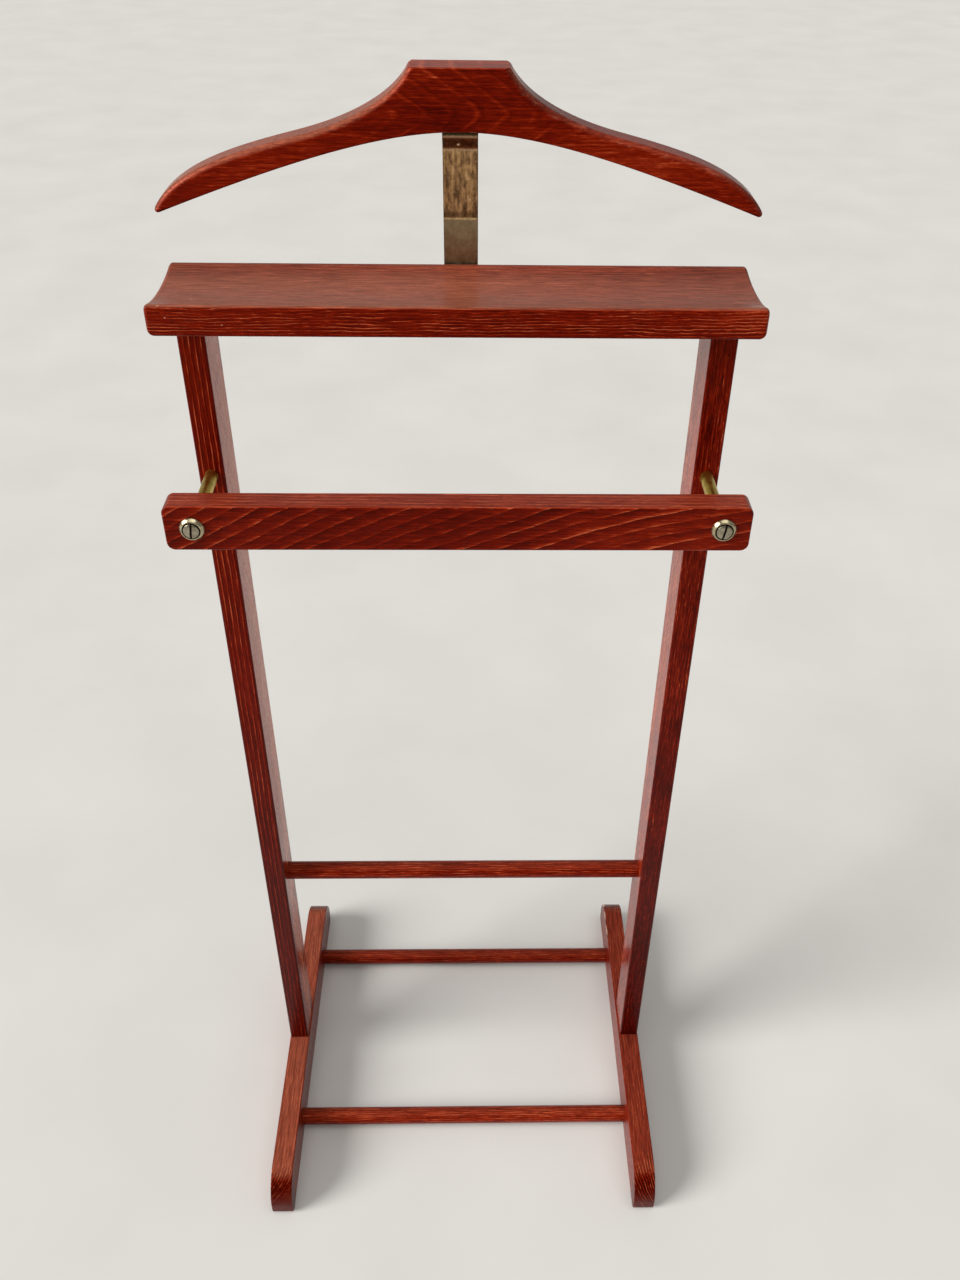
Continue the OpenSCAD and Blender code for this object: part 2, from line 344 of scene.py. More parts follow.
# Stained beech from its darkest to its lightest, and the colours that come on top of it
BEECH_STOPS = ((0.0, (0.022, 0.0005, 0.0002)),
               (0.30, (0.075, 0.0020, 0.0005)),
               (0.55, (0.150, 0.0065, 0.0009)),
               (0.78, (0.268, 0.0245, 0.0060)),
               (1.0, (0.45, 0.096, 0.036)))
PEG_STOPS = ((0.0, (0.35, 0.22, 0.12)),
             (1.0, (0.62, 0.45, 0.29)))
PORE = (0.014, 0.0005, 0.0002)
# Rubbed edges: partly worn finish, partly a painted highlight
SCUFF_GLEAM_COLOUR = (0.52, 0.17, 0.10)
RAW = (0.66, 0.44, 0.32)
# Haze on what faces up: some dust and old wax, and a painted sheen for reflected light
HAZE_AND_SHEEN = (0.56, 0.24, 0.14)
SHEEN = (1.0, 0.10, 0.03)

# How light the wood is, from one growth line to the next, and the middle of that lightness
SOFT = ((0.0, 0.62), (0.5, 0.55), (0.86, 0.30), (0.97, 0.22), (1.0, 0.62))
LINE = ((0.0, 0.22), (0.25, 0.42), (0.70, 0.46), (0.80, 0.95), (0.90, 0.80), (1.0, 0.22))
FLAME = ((0.0, 0.98), (0.07, 0.78), (0.25, 0.52), (0.65, 0.36), (0.97, 0.20), (1.0, 0.98))
MIDDLE_LIGHT = 0.47


def wood(name, along, phase, profile=SOFT, stops=BEECH_STOPS, seed=0.0, tone=0.5,
         ring=0.5, sway=0.8, fibre=0.3, dashes=0.2, pores=0.5, blotch=0.15,
         roughness=0.30, grit=1.0, scuff_and_gleam=0.3, dust_and_sheen=0.10, dust_sheen_facing=(0.45, 0.95),
         fade=None, lift=None, thin=None, patches=(), marks=()):
    """Beech, stained unless stops say otherwise.

    along is the grain's axis, and phase(net, x, y, z) counts its growth rings. profile
    is how light a ring is, stops turn lightness into colour, and tone is its middle.
    ring, fibre, dashes, pores and blotch are the strengths of the figure's layers, and
    sway is how far the rings wander. dust_and_sheen is the haze on what faces up, some
    dust and old wax and a painted sheen for reflected light, over the range
    dust_sheen_facing of the upward normal. fade, lift and thin, functions of place like phase,
    change the rings' strength, the lightness and the haze. patches are lighter or
    darker places (centre, reach, amount), and marks are knocks (centre, reach).
    """
    net = Net(name)
    where = net.coordinates(shift=(seed * 97, seed * 61, seed * 43))
    plain = net.coordinates()
    place = net.split(plain)
    axis = "XYZ".index(along)

    def stretched(long, wide):
        """Coordinates in cells this long and wide, in millimetres along and across the grain."""
        return net.cells(where, [long if i == axis else wide for i in range(3)])

    def away(centre, reach):
        """Distance from a centre, counted in reaches."""
        return net.vector("LENGTH", net.cells(net.vector("SUBTRACT", plain, centre), reach))

    # growth rings, with slow and quick waviness, each of its own strength and fading here and there
    rings = net.vary(phase(net, *place), net.noise(stretched(80, 30), detail=1), sway * 2.5)
    rings = net.vary(rings, net.noise(stretched(20, 7), detail=3, rough=0.6), sway)
    ring_light = net.ramp(net.math("FRACT", rings), [(at, (v, v, v)) for at, v in profile])
    year = net.node("TexWhiteNoise", {"W": net.math("FLOOR", rings)}, noise_dimensions="1D").outputs[0]
    clear = net.spread(net.noise(stretched(26, 5), detail=2), 0.30, 0.62, 0.45, 1.45)
    strength = net.times(net.math("MULTIPLY_ADD", year, 0.8, 0.6), clear)
    if fade:
        strength = net.times(strength, fade(net, *place))
    light = net.times(net.math("SUBTRACT", ring_light, MIDDLE_LIGHT), strength)

    # fibres, pores and cloudiness
    streak = net.noise(stretched(24, 1.3), detail=4, rough=0.65)
    hair = net.noise(stretched(7, 0.45), detail=3, rough=0.6)
    patch = net.noise(stretched(95, 45), detail=2)
    dash = net.spread(net.noise(stretched(9, 1.0), detail=2, rough=0.55), 0.56, 0.70)
    pore = net.spread(net.noise(stretched(6.5, 0.6), detail=1, rough=0.4), 0.60, 0.70)

    value = net.math("MULTIPLY_ADD", light, ring, tone)
    value = net.vary(value, streak, fibre * 2.6)
    value = net.vary(value, hair, fibre * 1.6)
    value = net.vary(value, patch, blotch * 2)
    value = net.math("MULTIPLY_ADD", dash, dashes, value)
    if lift:
        value = net.math("ADD", lift(net, *place), value)
    for centre, reach, amount in patches:
        value = net.math("MULTIPLY_ADD", net.spread(away(centre, reach), 1.0, 0.1), amount, value)
    colour = net.mix(net.times(pore, pores), net.ramp(value, stops), PORE)

    # a thin haze on whatever faces up: some dust and old wax, and a painted sheen for the light the tops
    # reflect
    up = net.split(net.node("NewGeometry").outputs["Normal"])["Z"]
    dust_sheen_mask = net.times(net.spread(up, *dust_sheen_facing), net.spread(streak, 0.30, 0.70, 0.6, 1.4))
    if thin:
        dust_sheen_mask = net.times(dust_sheen_mask, thin(net, *place))
    colour = net.mix(net.times(dust_sheen_mask, dust_and_sheen), colour, HAZE_AND_SHEEN)

    # rubbed edges, partly wear and partly a painted highlight along each rounding, and knocks down to raw
    # wood
    edge_scuff_gleam = net.node("Attribute", attribute_name="scuff_gleam").outputs["Fac"]
    chance = net.spread(net.noise(stretched(11, 3.5), detail=4, rough=0.7), 0.54, 0.68)
    colour = net.mix(net.times(net.times(edge_scuff_gleam, chance), scuff_and_gleam), colour, SCUFF_GLEAM_COLOUR)
    for centre, reach in marks:
        frayed = net.math("MULTIPLY_ADD", hair, 1.2, away(centre, reach))
        colour = net.mix(net.spread(frayed, 1.5, 1.1), colour, RAW)

    satin = net.math("MULTIPLY_ADD", pore, 0.2, roughness)
    satin = net.vary(satin, patch, 0.16)
    satin = net.vary(satin, streak, 0.18)
    relief = net.math("SUBTRACT", net.times(hair, 0.35), net.times(pore, 0.9))
    relief = net.math("MULTIPLY_ADD", light, 0.35, relief)
    normal = net.bump(relief, 0.00018, 0.5 * grit)
    normal = net.bump(net.noise(stretched(60, 16), detail=1), 0.0008, 0.25 * grit, normal)
    net.feed(net.shader.inputs["Base Color"], colour)
    net.feed(net.shader.inputs["Roughness"], satin)
    net.feed(net.shader.inputs["Normal"], normal)
    net.shader.inputs["Specular IOR Level"].default_value = 0.36
    net.shader.inputs["Specular Tint"].default_value = (*SHEEN, 1)
    return net.material


def off_axis(net, where, centre):
    """Offset from an axis along Y through the centre."""
    return net.vector("MULTIPLY", net.vector("SUBTRACT", where, centre), (1, 0, 1))


def from_axis(net, where, centre):
    """Distance from an axis along Y through the centre."""
    return net.vector("LENGTH", off_axis(net, where, centre))


def planes(x=0.0, y=0.0, z=0.0):
    """Growth rings as planes: how many rings each millimetre crosses, along X, Y and Z."""
    def phase(net, px, py, pz):
        total = net.times(px, x)
        total = net.math("MULTIPLY_ADD", py, y, total)
        return net.math("MULTIPLY_ADD", pz, z, total)
    return phase


def round_rings(centre_x, centre_z, spacing):
    """Growth rings as nested rounds about an axis along Y."""
    def phase(net, px, py, pz):
        p = net.node("CombineXYZ", {0: px, 1: py, 2: pz}).outputs[0]
        return net.math("DIVIDE", from_axis(net, p, (centre_x, 0, centre_z)), spacing)
    return phase


def tongues(tip_x, mid_z, spacing, slope, nose):
    """Growth rings as nested tongues that point along +X, with their tips on one height."""
    def phase(net, px, py, pz):
        rise = net.times(net.math("SUBTRACT", pz, mid_z), slope)
        back = net.math("SQRT", net.math("MULTIPLY_ADD", rise, rise, nose * nose))
        return net.math("DIVIDE", net.math("ADD", net.math("SUBTRACT", px, tip_x), back), spacing)
    return phase


SPOT = (0.03, 0.018, 0.010)
# Painted shade for the gaps round screw heads and inside their slots
SHADE_COLOUR = (0.012, 0.008, 0.005)


def metal(name, colours, roughness, cell=(6, 6, 6), spots=0.0, painted_shade=None):
    """Aged metal: cloudy colours with spots. painted_shade(net, where) says where shade is painted into gaps
    and slots.
    """
    net = Net(name)
    where = net.coordinates()
    cloud = net.noise(net.cells(where, cell), detail=4, rough=0.6)
    speck = net.noise(where, scale=0.9, detail=3, rough=0.7)
    dot = net.spread(net.noise(where, scale=0.55, detail=2), 0.66, 0.74)
    colour = net.ramp(net.vary(cloud, speck, 0.35),
                      [(0.25 + 0.5 * i / (len(colours) - 1), c) for i, c in enumerate(colours)])
    colour = net.mix(net.times(dot, spots), colour, SPOT)
    if painted_shade:
        colour = net.mix(painted_shade(net, where), colour, SHADE_COLOUR)
    net.feed(net.shader.inputs["Base Color"], colour)
    net.shader.inputs["Metallic"].default_value = 1.0
    net.feed(net.shader.inputs["Roughness"], net.vary(roughness, cloud, 0.3))
    net.feed(net.shader.inputs["Normal"], net.bump(speck, 0.00006, 0.4))
    return net.material


def ring_shade(centre, inside, outside):
    """Painted shade that is full inside a distance from an axis along Y, and gone at the outside one."""
    def painted_shade(net, where):
        return net.spread(from_axis(net, where, centre), outside, inside)
    return painted_shade


def head_shade(centre, turn, radius, slot):
    """Painted shade in a screw's slot and in the gap around its rim."""
    def painted_shade(net, where):
        off = off_axis(net, where, centre)
        aside = net.vector("DOT_PRODUCT", off, (math.cos(turn), 0, math.sin(turn)))
        in_slot = net.spread(net.math("ABSOLUTE", aside), slot / 2 + 0.12, slot / 2 - 0.08)
        rim = net.spread(net.vector("LENGTH", off), radius - 0.55, radius - 0.05)
        return net.math("MAXIMUM", in_slot, rim)
    return painted_shade


OLIVE_STOPS = ((0.3, (0.26, 0.21, 0.115)),
               (0.5, (0.34, 0.285, 0.165)),
               (0.72, (0.42, 0.36, 0.215)))
COPPERY_STOPS = ((0.30, (0.15, 0.080, 0.038)),
                 (0.44, (0.29, 0.165, 0.075)),
                 (0.57, (0.43, 0.245, 0.105)),
                 (0.74, (0.64, 0.40, 0.19)))


def strap_brass(name, middle_x, half_w, line_z, jog_z, pip_top):
    """Old flat brass: spotted and coppery above a witness line, smooth and olive below it."""
    net = Net(name)
    where = net.coordinates()
    px, _, pz = net.split(where)
    cloud = net.noise(net.cells(where, (6, 6, 9)), detail=4, rough=0.6)
    speck = net.noise(where, scale=0.9, detail=3, rough=0.7)
    drawn = net.noise(net.cells(where, (2.2, 2.2, 20)), detail=3, rough=0.55)
    blotch = net.noise(net.cells(where, (2.6, 2.6, 5)), detail=4, rough=0.65)
    dots = net.spread(net.noise(where, scale=0.62, detail=2), 0.69, 0.74)
    pits = net.spread(net.noise(net.cells(where, (1.3, 1.3, 1.9)), detail=3, rough=0.6), 0.61, 0.67)
    ragged = net.vary(pz, speck, 1.4)
    above = net.spread(ragged, line_z, line_z + 1.2)

    def band(colour, z, stretch, strength, tint):
        """A band across the strap: it starts, is full, is full until and ends at z plus the stretch."""
        start, full, until, end = (z + offset for offset in stretch)
        inside = net.times(net.spread(ragged, start, full), net.spread(ragged, end, until))
        return net.mix(net.times(inside, strength), colour, tint)

    smooth = net.ramp(net.vary(cloud, speck, 0.5), OLIVE_STOPS)
    smooth = net.mix(net.times(dots, 0.5), smooth, (0.70, 0.60, 0.40))
    spotted = net.ramp(net.vary(blotch, drawn, 0.9), COPPERY_STOPS)
    spotted = net.mix(net.times(pits, 0.7), spotted, (0.06, 0.028, 0.014))
    colour = net.mix(above, smooth, spotted)

    # the dark stain over the witness line, and the bright line itself
    uneven = net.spread(cloud, 0.35, 0.6, 0.35, 0.95)
    colour = band(colour, line_z, (0.4, 1.6, 3, 7), 0.6, (0.06, 0.033, 0.014))
    colour = band(colour, line_z, (-1.2, -0.4, 0, 0.8), uneven, (0.85, 0.62, 0.28))

    # the jog: a painted highlight along its lower bend, painted shade on its downward face from there up, a
    # painted highlight along the upper bend and a painted shadow under the hanger above it
    jog_shade = net.spread(pz, jog_z - 0.6, jog_z + 0.6)
    colour = band(colour, jog_z, (-2.4, -1.6, -1.0, -0.4), 0.45, (0.62, 0.48, 0.30))
    colour = net.mix(net.times(jog_shade, 0.72), colour, (0.07, 0.055, 0.028))
    colour = band(colour, jog_z, (7.2, 8.0, 8.8, 9.6), 0.7, (0.60, 0.50, 0.32))
    colour = band(colour, jog_z, (9.4, 10.4, 14, 19), 0.9, (0.02, 0.014, 0.008))

    # the pip's top is bright, and the strap's edges are dark
    pip_near = net.spread(net.vector("LENGTH", net.vector("SUBTRACT", where, pip_top)), 1.5, 0.6)
    colour = net.mix(net.times(pip_near, 0.8), colour, (0.75, 0.62, 0.38))
    aside = net.math("ABSOLUTE", net.math("SUBTRACT", px, middle_x))
    edge = net.spread(aside, half_w - 0.9, half_w - 0.1)
    colour = net.mix(net.times(edge, 0.75), colour, (0.045, 0.03, 0.016))

    relief = net.math("SUBTRACT", speck, net.times(pits, above))
    net.feed(net.shader.inputs["Base Color"], colour)
    net.shader.inputs["Metallic"].default_value = 1.0
    net.feed(net.shader.inputs["Roughness"], net.math("MULTIPLY_ADD", pits, 0.2, net.vary(0.40, cloud, 0.3)))
    net.feed(net.shader.inputs["Normal"], net.bump(relief, 0.00010, 0.5))
    return net.material


brass = metal("dull_brass", [(0.32, 0.21, 0.03), (0.52, 0.37, 0.06), (0.68, 0.53, 0.14)], 0.36)
old_brass = metal("aged_brass", [(0.10, 0.07, 0.035), (0.20, 0.14, 0.07), (0.34, 0.22, 0.11)], 0.42,
                  cell=(9, 9, 30), spots=0.8)

# ---------------------------------------------------------------- feet

FOOT_LOW_R, FOOT_TOP_R, FOOT_EDGE = 7, 32, 1.1

# Knocks on each foot: out from its inner face, ahead of its rear end and below its top, then their reach
FOOT_KNOCKS = {-1: (((1, 30, 4), (1.0, 5, 3)),
                    ((11, 21, 0), (11, 0.7, 3))),
               1: (((1, 12, 5), (2.2, 7, 5)),
                   ((0, 34, 0), (0.9, 9, 1.6)),
                   ((13, 5, 6), (5, 1.3, 4)),
                   ((0, 58, 0), (0.8, 12, 1.4)))}

for side, node in ((-1, "left_foot"), (1, "right_foot")):
    low, high = cad(node)
    inner = min(abs(low.x), abs(high.x))

    def from_end(net, y):
        """Distance along the foot from its nearer end."""
        return net.math("SUBTRACT", high.y, net.math("ABSOLUTE", y))

    def clear_ends(net, x, y, z):
        """The growth lines are clearer on the rounded ends."""
        return net.spread(from_end(net, y), 34, 20, 1.0, 3.0)

    def shaded_ends(net, x, y, z):
        """The rounded ends are darker: end grain takes more stain, and a painted shade stands in for the
        light falling off round them.
        """
        return net.spread(from_end(net, y), 30, 8, 0, -0.38 + 0.05 * side)

    marks = [((side * (inner + out), high.y - ahead, high.z - down), reach)
             for (out, ahead, down), reach in FOOT_KNOCKS[side]]
    outline = tidy(rounded_rect(low.y, low.z, high.y, high.z, FOOT_LOW_R, FOOT_TOP_R, 16))
    bm = bmesh.new()
    add_plate(bm, outline, lambda i: (FOOT_EDGE, FOOT_EDGE), low.x, high.x, lambda u, v, w: (w, u, v))
    grain = wood(node + "_wood", "Y", planes(x=0.34, z=-0.06 + 0.24 * side), LINE,
                 ring=0.45, fibre=0.42, seed=3 + side, tone=0.50 - 0.03 * side, dust_and_sheen=0.13 - 0.06 * side,
                 dust_sheen_facing=(0.82, 0.995), scuff_and_gleam=0.45, fade=clear_ends, lift=shaded_ends, marks=marks)
    new_piece(node + "_board", bm, grain, "frame", [node])

# ---------------------------------------------------------------- uprights

UPRIGHT_CORNER_R, UPRIGHT_LOW_EDGE, UPRIGHT_TOP_EDGE = 1.6, 0.7, 0.5

# The left upright has even straight lines, and the right one a broken, cloudy figure
UPRIGHT_FIGURE = {-1: dict(phase=planes(x=0.235, y=0.01), ring=0.76, sway=0.22, fibre=0.34, dashes=0.12,
                           blotch=0.08, seed=10, tone=0.38),
                  1: dict(phase=planes(x=0.36, y=0.05), ring=0.40, sway=1.2, fibre=0.55, dashes=0.30,
                          pores=0.8, blotch=0.34, seed=12, tone=0.37)}

for side, node in ((-1, "left_upright"), (1, "right_upright")):
    low, high = cad(node)
    inner, front = min(abs(low.x), abs(high.x)), low.y

    def painted_light_and_shade(net, x, y, z):
        """The inner face is painted paler than the front, a painted light for the sheen it catches, and both
        are painted darker low down, a painted shade against the floor's bounced light.
        """
        near = net.spread(net.times(x, side), inner + 0.7, inner + 0.1)
        inside = net.times(near, net.spread(y, front + 0.8, front + 2.5))
        return net.math("MULTIPLY_ADD", inside, 0.44 - 0.08 * side, net.spread(z, 620, 240, 0, -0.20))

    outline = tidy(rounded_rect(low.x, low.y, high.x, high.y, UPRIGHT_CORNER_R, UPRIGHT_CORNER_R, 5))
    bm = bmesh.new()
    add_plate(bm, outline, lambda i: (UPRIGHT_LOW_EDGE, UPRIGHT_TOP_EDGE), low.z, high.z,
              lambda u, v, w: (u, v, w))
    grain = wood(node + "_wood", "Z", profile=LINE, roughness=0.26, grit=0.5, lift=painted_light_and_shade,
                 **UPRIGHT_FIGURE[side])
    new_piece(node + "_board", bm, grain, "frame", [node])

# ---------------------------------------------------------------- rails

RAIL_CHAMFER, RAIL_STEPS = 1, 40
RAIL_TONES = {"upper_rail": 0.47, "front_shoe_rail": 0.56, "rear_shoe_rail": 0.45}

for count, (node, tone) in enumerate(RAIL_TONES.items()):
    low, high = cad(node)
    middle, radius = (low + high) / 2, (high.z - low.z) / 2
    half = (high.x - low.x) / 2
    length = 2 * half - 2 * RAIL_CHAMFER
    profile = ([(0, -half), (radius - RAIL_CHAMFER, -half)]
               + [(radius, -half + RAIL_CHAMFER + length * i / RAIL_STEPS) for i in range(RAIL_STEPS + 1)]
               + [(radius - RAIL_CHAMFER, half), (0, half)])
    bm = bmesh.new()
    add_lathe(bm, profile, middle, (1, 0, 0))
    grain = wood(node + "_wood", "X", planes(y=0.34, z=0.28), LINE, ring=0.55, fibre=0.55,
                 seed=20 + count, tone=tone, dust_and_sheen=0.05)
    new_piece(node + "_rod", bm, grain, "frame", [node])

# ---------------------------------------------------------------- tray

low, high = cad("valet_tray")
LIP, DISH = 4.0, 5.5
TRAY_LOW_R, TRAY_LIP_R = 1.6, 2.8
# The hollow eases in from the lips over this width
LIP_EASE = 6.0
# The tray's ends fall away over this length, with these radii at the top, the bottom and the sides
END_L, END_TOP_R, END_LOW_R, END_SIDE_R = 5.0, 3.0, 5.0, 2.2

# Small knocks on the tray: from its left end, from its front and below its top, then their reach
TRAY_KNOCKS = (((27, 26, 4), (1.6, 0.6, 2)),
               ((96, 12, 2), (0.6, 0.5, 2)),
               ((236, 12, 2), (0.6, 0.5, 2)),
               ((14, 0, 8), (0.6, 2, 0.4)),
               ((52, 0, 13), (0.4, 2, 0.4)),
               ((10, 2, 1), (2.0, 1.2, 1)))

front, tray_top = low.y, high.z
half_y, middle_y = (high.y - low.y) / 2, (high.y + low.y) / 2


def tray_section():
    """Outline in Y and Z: flat underside, upright faces, thin lips and a hollow between them."""
    half = half_y - LIP
    radius = (half * half + DISH * DISH) / (2 * DISH)
    hollow = []
    steps = 40
    for i in range(steps + 1):
        y = half * (1 - 2 * i / steps)
        drop = DISH - radius + math.sqrt(radius * radius - y * y)
        eased = min(1.0, 0.25 + (half - abs(y)) / LIP_EASE)
        hollow.append((middle_y + y, high.z - drop * eased))
    return (arc(low.y + TRAY_LOW_R, low.z + TRAY_LOW_R, TRAY_LOW_R, 180, 270, 5)
            + arc(high.y - TRAY_LOW_R, low.z + TRAY_LOW_R, TRAY_LOW_R, 270, 360, 5)
            + arc(high.y - TRAY_LIP_R, high.z - TRAY_LIP_R, TRAY_LIP_R, 0, 90, 7) + hollow
            + arc(low.y + TRAY_LIP_R, high.z - TRAY_LIP_R, TRAY_LIP_R, 90, 180, 7))


def thinner_haze(net, x, y, z):
    """Less haze towards the back and the right."""
    return net.times(net.spread(y, middle_y + 12, high.y - 8, 1.0, 0.6),
                     net.spread(x, -40, 160, 1.0, 0.75))


def fainter_behind(net, x, y, z):
    """The growth lines are strong on the front face only."""
    return net.spread(y, front + 0.4, front + 3, 1.0, 0.22)


outline = tidy(tray_section())
rings, scuff_and_gleam = [], []
end_steps = 9
# Each end is made of rings at these distances from it, and the outer ones carry the rubbed edge: wear and a
# painted highlight
insets = [END_L * (1 - math.cos(math.radians(90 * k / end_steps))) for k in range(end_steps + 1)]
for x, s in [(low.x + s, s) for s in insets] + [(high.x - s, s) for s in reversed(insets)]:
    top, bottom, side = rounding(s, END_TOP_R), rounding(s, END_LOW_R), rounding(s, END_SIDE_R)
    squeeze = (high.z - low.z - top - bottom) / (high.z - low.z)
    narrow = (half_y - side) / half_y
    rings.append([(x, middle_y + (v[0] - middle_y) * narrow, low.z + bottom + (v[1] - low.z) * squeeze)
                  for v in outline])
    scuff_and_gleam.append(1.0 if 0.1 < s < 2 else 0.0)
bm = bmesh.new()
add_loft(bm, rings, scuff_and_gleam)
grain = wood("valet_tray_wood", "X", planes(z=0.42, y=0.15), LINE, ring=0.88, sway=1.3, fibre=0.42,
             dashes=0.26, seed=31, tone=0.41, dust_and_sheen=0.28, thin=thinner_haze, fade=fainter_behind,
             patches=[((high.x - 8, front, high.z - 9), (44, 30, 14), 0.20),
                      ((0, middle_y + 4, high.z), (330, 46, 12), 0.10),
                      ((0, high.y - 7, high.z), (330, 11, 12), 0.16)],
             marks=[((low.x + along, front + back, high.z - down), reach)
                    for (along, back, down), reach in TRAY_KNOCKS])
new_piece("valet_tray_board", bm, grain, "frame", ["valet_tray"])

# ---------------------------------------------------------------- trouser bar

low, high = cad("trouser_bar")
middle = (low + high) / 2
BAR_R, BAR_EDGE = 6, 1.4
# The growth lines sweep round an axis to the right of the bar and far below it
sweeping = round_rings(middle.x + 400, middle.z - 1000, 9.0)
straight = planes(x=0.004, y=0.24)


def bar_rings(net, x, y, z):
    """Sweeping growth lines on the bar's faces, straight ones along its top."""
    on_top = net.spread(z, high.z - 0.5, high.z - 0.3)
    faces = net.times(sweeping(net, x, y, z), net.math("SUBTRACT", 1.0, on_top))
    return net.math("MULTIPLY_ADD", straight(net, x, y, z), on_top, faces)


def painted_light_top(net, x, y, z):
    """The bar's top is painted paler than its front, a painted light on the face that looks up."""
    return net.spread(z, high.z - 1.2, high.z - 0.3, 0, 0.25)


outline = tidy(rounded_rect(low.x, low.z, high.x, high.z, BAR_R, BAR_R, 10))
bm = bmesh.new()
add_plate(bm, outline, lambda i: (BAR_EDGE, BAR_EDGE), low.y, high.y, lambda u, v, w: (u, w, v))
grain = wood("trouser_bar_wood", "X", bar_rings, FLAME, ring=0.64, sway=0.26, fibre=0.34, dashes=0.12,
             seed=41, tone=0.38, dust_and_sheen=0.06, lift=painted_light_top,
             patches=[((high.x - 60, low.y, middle.z - 6), (150, 14, 40), 0.10)])
new_piece("trouser_bar_board", bm, grain, "frame", ["trouser_bar"])

# ---------------------------------------------------------------- posts and cup washers

CUP_METAL = [(0.26, 0.21, 0.12), (0.44, 0.37, 0.23), (0.62, 0.55, 0.38)]
POST_R, POST_EDGE, STUD_R, POST_STEPS = 5.0, 0.4, 3.0, 8
# Radius of the cup's mouth, where shade is painted in the gap around the screw's head
CUP_MOUTH = 6.5
# The cup's section: its bore, its flat foot, the slope up to the rolled rim and the mouth for the screw
CUP_PROFILE = [(2.8, 0), (9.2, 0), (9.2, 0.5), (8.7, 1.5), (7.4, 2.9), (6.6, 3.0), (6.25, 2.6), (2.8, 0.6)]

for side in ("left", "right"):
    low, high = cad(side + "_bar_post")
    middle = (low + high) / 2
    face = cad(side + "_upright")[0].y
    open_l, whole_l = face - low.y, high.y - low.y
    profile = ([(0, 0), (POST_R - POST_EDGE, 0), (POST_R, POST_EDGE)]
               + [(POST_R, POST_EDGE + (open_l - 2 * POST_EDGE) * i / POST_STEPS)
                  for i in range(1, POST_STEPS + 1)]
               + [(POST_R - POST_EDGE, open_l), (STUD_R, open_l), (STUD_R, whole_l), (0, whole_l)])
    bm = bmesh.new()
    add_lathe(bm, profile, (middle.x, low.y, middle.z), (0, 1, 0))
    new_piece(side + "_post", bm, brass, "frame", [side + "_bar_post"])

    seat = cad(side + "_cup_washer")[1].y
    cup = soft_corners(CUP_PROFILE, 0.5)
    bm = bmesh.new()
    add_lathe(bm, cup + [cup[0]], (middle.x, seat, middle.z), (0, -1, 0))
    cup_metal = metal(side + "_cup_metal", CUP_METAL, 0.24, cell=(3, 3, 3),
                      painted_shade=ring_shade(middle, CUP_MOUTH - 0.1, CUP_MOUTH + 0.5))
    new_piece(side + "_cup", bm, cup_metal, "frame", [side + "_cup_washer"])

# ---------------------------------------------------------------- screws

HEAD_METAL = [(0.20, 0.17, 0.12), (0.33, 0.29, 0.21), (0.46, 0.42, 0.33)]
HEAD_R, HEAD_BASE, HEAD_RISE = 5.9, 3.0, 1.6
SLOT_W, SLOT_D = 1.5, 1.5
SHANK_R = 2.5
SLOT_TURNS = {"left": math.radians(-6), "right": math.radians(-9)}

for side, turn in SLOT_TURNS.items():
    low, high = cad(side + "_bar_screw")
    middle = (low + high) / 2
    seat = cad(side + "_cup_washer")[1].y
    shank_l = high.y - seat
    dome = [(HEAD_R * math.sin(math.radians(a)), HEAD_BASE + HEAD_RISE * math.cos(math.radians(a)))
            for a in range(0, 91, 9)]
    profile = dome + [(HEAD_R - 0.3, HEAD_BASE - 0.5), (SHANK_R, HEAD_BASE - 2.2),
                      (SHANK_R, -shank_l), (0, -shank_l)]
    centre, axis = (middle.x, seat, middle.z), (0, -1, 0)
    bm = bmesh.new()
    add_lathe(bm, profile, centre, axis)
    done = cut_slot(bm, side + "_screw", centre, axis, turn, SLOT_W, HEAD_R * 3,
                    HEAD_BASE + HEAD_RISE - SLOT_D)
    head_metal = metal(side + "_screw_metal", HEAD_METAL, 0.26, cell=(3, 3, 3),
                       painted_shade=head_shade(middle, turn, HEAD_R, SLOT_W))
    piece = new_piece(side + "_slotted_screw", done, head_metal, "frame", [side + "_bar_screw"])
    bevel = piece.modifiers.new("bevel", "BEVEL")
    bevel.width = 0.00018
    bevel.segments = 2
    bevel.angle_limit = math.radians(35)

# ---------------------------------------------------------------- coat hanger

low, high = cad("coat_hanger")
TOP = high.z
middle_x = (low.x + high.x) / 2
WIDE_EDGE, THIN_EDGE = 4.6, 1.2

# The right half of the outline, from the block's top corner round the tip to the middle of the underside:
# offsets from the middle of the top, and the radius of the face edges there
corner = [(31.8, 0.0, 1.0), (33.3, -0.35, WIDE_EDGE), (34.2, -1.1, WIDE_EDGE)]
upper = (bezier([(34.5, -1.6), (44, -18), (70, -33.5), (112, -43.6)], 22)
         + bezier([(112, -43.6), (152, -53.5), (196, -65), (211.6, -90.5)], 26)[1:])
tip = [(211.9, -91.8, 3.6), (211.3, -93.0, 2.6), (210.0, -93.6, 1.8), (208.4, -93.4, THIN_EDGE)]
under = bezier([(208.0, -93.2), (100, -53), (45, -39.6), (0, -39.6)], 40)
right = (corner + [(x, z, WIDE_EDGE) for x, z in upper] + tip
         + [(x, z, THIN_EDGE) for x, z in under])
left = [(-x, z, r) for x, z, r in reversed(right[:-1])]
loop = (right + left)[::-1]
outline = [(middle_x + x, TOP + z) for x, z, r in loop]
radii = [r for x, z, r in loop]

# The arms' wide edge runs out at the block's corner: each corner point's place on the hanger's faces
CORNER_FACE = ((27.2, -1.0), (27.9, -1.0), (28.6, -1.5))
dirs = inward(outline)
for i, (x, z, r) in enumerate(loop):
    if (abs(x), z, r) in corner:
        aim_x, aim_z = CORNER_FACE[corner.index((abs(x), z, r))]
        dirs[i] = Vector((math.copysign(aim_x, x) - x, aim_z - z)) / r


